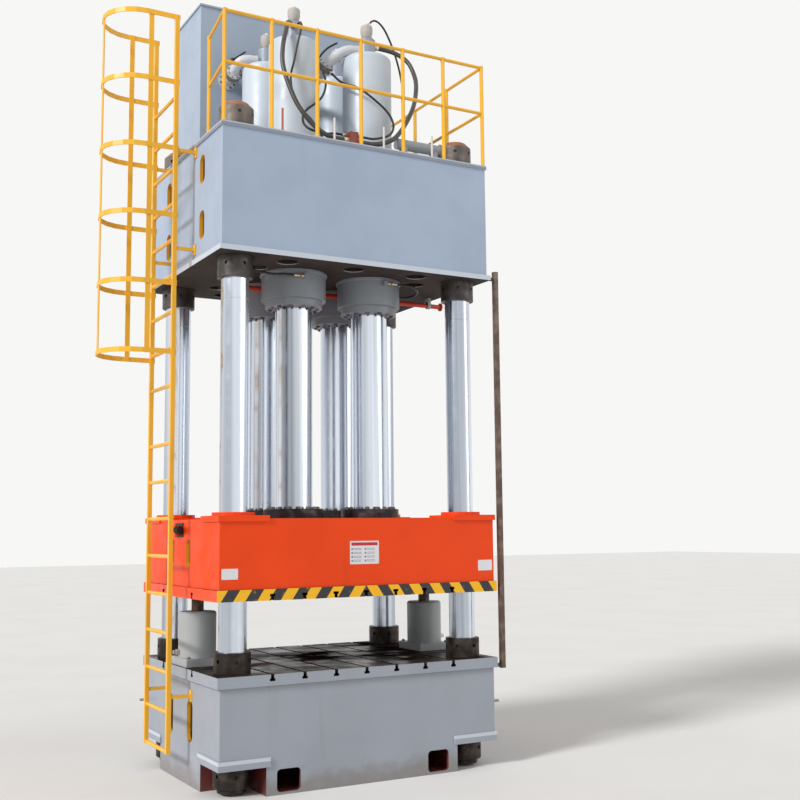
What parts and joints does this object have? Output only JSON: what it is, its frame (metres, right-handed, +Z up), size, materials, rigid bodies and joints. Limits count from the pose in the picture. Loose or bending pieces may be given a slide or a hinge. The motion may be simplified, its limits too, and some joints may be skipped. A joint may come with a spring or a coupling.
{
  "type": "hydraulic press",
  "caption": "Column-guided hydraulic press: a slide driven by cylinders presses work on a T-slotted table; the crown carries a railed deck, oil tank and caged ladder.",
  "frame": {"origin": "centre of the bed's underside, on the floor", "axes": "+Z up along the columns, +X to the press's right as seen from its front, +Y towards its back"},
  "size_m": [3.271, 2.284, 6.853],
  "materials": {
    "bed_paint": "light grey enamel, satin",
    "table_steel": "machined steel under an oil film",
    "crown_paint": "pale blue-grey enamel, satin",
    "column_chrome": "hard chrome, ground and polished",
    "nut_steel": "blackened steel with a rusted top edge",
    "cylinder_paint": "grey enamel, satin",
    "valve_paint": "pale grey enamel, scuffed",
    "lever_steel": "black enamel",
    "slide_paint": "orange-red enamel, semi-gloss",
    "plunger_chrome": "hard chrome, polished",
    "rod_steel": "oiled steel",
    "safety_paint": "safety yellow enamel",
    "rail_steel": "bare steel, lightly rusted",
    "pipe_paint": "red enamel",
    "hose_rubber": "black rubber cover"
  },
  "bodies": {
    "frame": {"bed_frame": "bed_paint", "buffer_cylinder_left": "bed_paint", "buffer_cylinder_right": "bed_paint", "table_plate": "table_steel", "crown_frame": "crown_paint", "oil_tank": "crown_paint", "column_front_left": "column_chrome", "column_front_right": "column_chrome", "column_back_left": "column_chrome", "column_back_right": "column_chrome", "table_nut_front_left": "nut_steel", "table_nut_front_right": "nut_steel", "table_nut_back_left": "nut_steel", "table_nut_back_right": "nut_steel", "lower_nut_front_left": "nut_steel", "lower_nut_front_right": "nut_steel", "lower_nut_back_left": "nut_steel", "lower_nut_back_right": "nut_steel", "top_nut_front_left": "nut_steel", "top_nut_front_right": "nut_steel", "top_nut_back_left": "nut_steel", "top_nut_back_right": "nut_steel", "main_cylinder_front_left": "cylinder_paint", "main_cylinder_front_right": "cylinder_paint", "main_cylinder_back_left": "cylinder_paint", "main_cylinder_back_right": "cylinder_paint", "gland_ring_front_left": "cylinder_paint", "gland_ring_front_right": "cylinder_paint", "gland_ring_back_left": "cylinder_paint", "gland_ring_back_right": "cylinder_paint", "prefill_valve_front_left": "valve_paint", "prefill_valve_front_right": "valve_paint", "prefill_valve_back_left": "valve_paint", "prefill_valve_back_right": "valve_paint", "suction_pipe_left": "valve_paint", "suction_pipe_right": "valve_paint", "deck_railing": "safety_paint", "ladder_lower": "safety_paint", "ladder_upper": "safety_paint", "position_rail": "rail_steel", "pressure_main": "pipe_paint", "hose_block": "pipe_paint", "hose_left_thick": "hose_rubber", "hose_left_thin": "hose_rubber", "hose_right_thick": "hose_rubber", "hose_right_thin": "hose_rubber", "hose_middle": "hose_rubber", "hose_middle_left": "hose_rubber", "hose_cylinder_left": "hose_rubber", "hose_cylinder_right": "hose_rubber"},
    "slide": {"slide_frame": "slide_paint", "slide_plate": "slide_paint", "plunger_front_left": "plunger_chrome", "plunger_front_right": "plunger_chrome", "plunger_back_left": "plunger_chrome", "plunger_back_right": "plunger_chrome"},
    "left_buffer_rod": {"buffer_rod_left": "rod_steel"},
    "right_buffer_rod": {"buffer_rod_right": "rod_steel"},
    "left_valve_lever": {"valve_lever_left": "lever_steel"},
    "right_valve_lever": {"valve_lever_right": "lever_steel"}
  },
  "joints": [
    {"name": "slide_travel", "type": "slide", "parent": "frame", "child": "slide", "axis": [0, 0, 1], "range_m": [0, 1.5]},
    {"name": "left_buffer_travel", "type": "slide", "parent": "frame", "child": "left_buffer_rod", "axis": [0, 0, 1], "range_m": [-0.08, 0]},
    {"name": "right_buffer_travel", "type": "slide", "parent": "frame", "child": "right_buffer_rod", "axis": [0, 0, 1], "range_m": [-0.08, 0]},
    {"name": "left_valve_turn", "type": "hinge", "parent": "frame", "child": "left_valve_lever", "pos_m": [-0.6253, 0.48005, 6.29439], "axis": [0, 0.1201, 0.9928], "range_deg": [-90, 0]},
    {"name": "right_valve_turn", "type": "hinge", "parent": "frame", "child": "right_valve_lever", "pos_m": [-0.03612, -0.11835, 6.19947], "axis": [-0.2061, 0.6389, 0.7412], "range_deg": [0, 90]}
  ]
}
